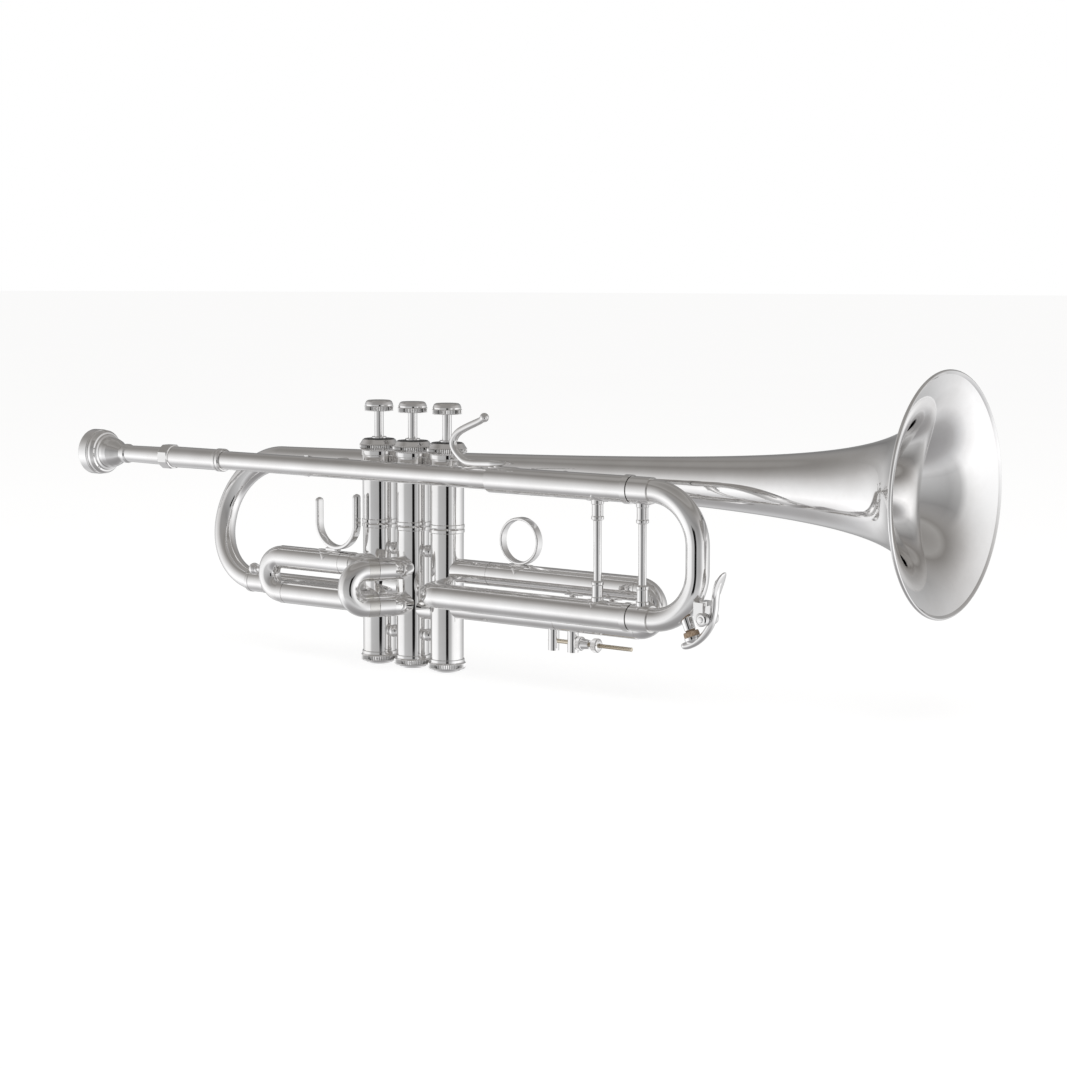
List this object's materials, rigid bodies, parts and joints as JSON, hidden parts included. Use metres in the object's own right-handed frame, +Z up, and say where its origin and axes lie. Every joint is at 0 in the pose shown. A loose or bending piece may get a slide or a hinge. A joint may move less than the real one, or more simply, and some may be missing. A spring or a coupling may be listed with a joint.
{
  "type": "trumpet",
  "caption": "B-flat trumpet in polished silver plate with three piston valves, drawn tuning and valve slides, water key, finger ring and flared bell",
  "frame": {"origin": "middle of the second valve's bottom cap, on its lower face", "axes": "+X out of the bell, +Z up along the valves, -Y to the player's right"},
  "size_m": [0.5531, 0.128, 0.1761],
  "materials": {
    "silver_plate": "polished silver plate",
    "nickel_silver": "honed nickel silver",
    "monel": "lapped",
    "spring_steel": "bright wire",
    "felt": "black felt",
    "cork": "natural cork",
    "brass_guide": "plain"
  },
  "bodies": {
    "horn": {"mouthpiece_receiver": "silver_plate", "leadpipe": "silver_plate", "upper_slide_tube": "silver_plate", "lower_slide_tube": "silver_plate", "outer_tube_brace": "silver_plate", "finger_hook": "silver_plate", "valve_casing_1": "silver_plate", "valve_casing_2": "silver_plate", "valve_casing_3": "silver_plate", "valve_block_stays": "silver_plate", "crossover_tubes": "silver_plate", "top_caps": "silver_plate", "top_cap_felts": "felt", "bottom_caps": "silver_plate", "valve_guides": "brass_guide", "first_slide_fixed_tubes": "silver_plate", "second_slide_fixed_tubes": "silver_plate", "third_slide_fixed_tubes": "silver_plate", "stop_rod_post": "silver_plate", "stop_rod": "nickel_silver", "bell_flare": "silver_plate", "bell_stem": "silver_plate", "bell_rim_wire": "silver_plate", "bell_bow": "silver_plate", "bell_tail": "silver_plate", "bell_braces": "silver_plate"},
    "mouthpiece": {"mouthpiece": "silver_plate"},
    "valve_1": {"piston_1": "monel", "valve_stem_1": "silver_plate", "finger_button_1": "silver_plate", "valve_spring_1": "spring_steel"},
    "valve_2": {"piston_2": "monel", "valve_stem_2": "silver_plate", "finger_button_2": "silver_plate", "valve_spring_2": "spring_steel"},
    "valve_3": {"piston_3": "monel", "valve_stem_3": "silver_plate", "finger_button_3": "silver_plate", "valve_spring_3": "spring_steel"},
    "tuning_slide": {"tuning_slide_legs": "nickel_silver", "tuning_slide_ferrules": "silver_plate", "tuning_crook": "silver_plate", "tuning_slide_brace": "silver_plate", "water_key_nipple": "silver_plate", "water_key_bracket": "silver_plate", "water_key_spring": "spring_steel"},
    "water_key": {"water_key_lever": "silver_plate", "water_key_cork": "cork"},
    "first_slide": {"first_slide_legs": "silver_plate", "first_slide_bow": "silver_plate", "first_slide_knob": "silver_plate", "thumb_saddle": "silver_plate"},
    "second_slide": {"second_slide_legs": "nickel_silver", "second_slide_bow": "silver_plate"},
    "third_slide": {"third_slide_legs": "silver_plate", "third_slide_bow": "silver_plate", "finger_ring": "silver_plate", "third_slide_struts": "silver_plate", "stop_rod_rider": "silver_plate"},
    "stop_nuts": {"stop_nuts": "silver_plate"}
  },
  "joints": [
    {"name": "valve_1_press", "type": "slide", "parent": "horn", "child": "valve_1", "axis": [0, 0, -1], "range_m": [0, 0.0154], "stiffness_N_per_m": 60, "springref_m": -0.03, "deforming": ["valve_spring_1"]},
    {"name": "valve_2_press", "type": "slide", "parent": "horn", "child": "valve_2", "axis": [0, 0, -1], "range_m": [0, 0.0154], "stiffness_N_per_m": 60, "springref_m": -0.03, "deforming": ["valve_spring_2"]},
    {"name": "valve_3_press", "type": "slide", "parent": "horn", "child": "valve_3", "axis": [0, 0, -1], "range_m": [0, 0.0154], "stiffness_N_per_m": 60, "springref_m": -0.03, "deforming": ["valve_spring_3"]},
    {"name": "tuning_slide_draw", "type": "slide", "parent": "horn", "child": "tuning_slide", "axis": [1, 0, 0], "range_m": [0, 0.04]},
    {"name": "first_slide_draw", "type": "slide", "parent": "horn", "child": "first_slide", "axis": [-1, 0, 0], "range_m": [0, 0.018]},
    {"name": "second_slide_draw", "type": "slide", "parent": "horn", "child": "second_slide", "axis": [-0.5299, -0.848, 0], "range_m": [0, 0.006]},
    {"name": "third_slide_draw", "type": "slide", "parent": "horn", "child": "third_slide", "axis": [1, 0, 0], "range_m": [0, 0.018]},
    {"name": "stop_nuts_back_off", "type": "slide", "parent": "horn", "child": "stop_nuts", "axis": [1, 0, 0], "range_m": [0, 0.018]},
    {"name": "mouthpiece_pull", "type": "slide", "parent": "horn", "child": "mouthpiece", "axis": [-1, 0, 0], "range_m": [0, 0.03]},
    {"name": "water_key_open", "type": "hinge", "parent": "tuning_slide", "child": "water_key", "pos_m": [0.206, -0.019, 0.0486], "axis": [0, -1, 0], "range_deg": [0, 10], "stiffness_Nm_per_rad": 0.06, "springref_deg": -17.19}
  ],
  "couplings": [
    {"joint": "stop_nuts_back_off", "follows": "third_slide_draw", "ratio": 1}
  ]
}
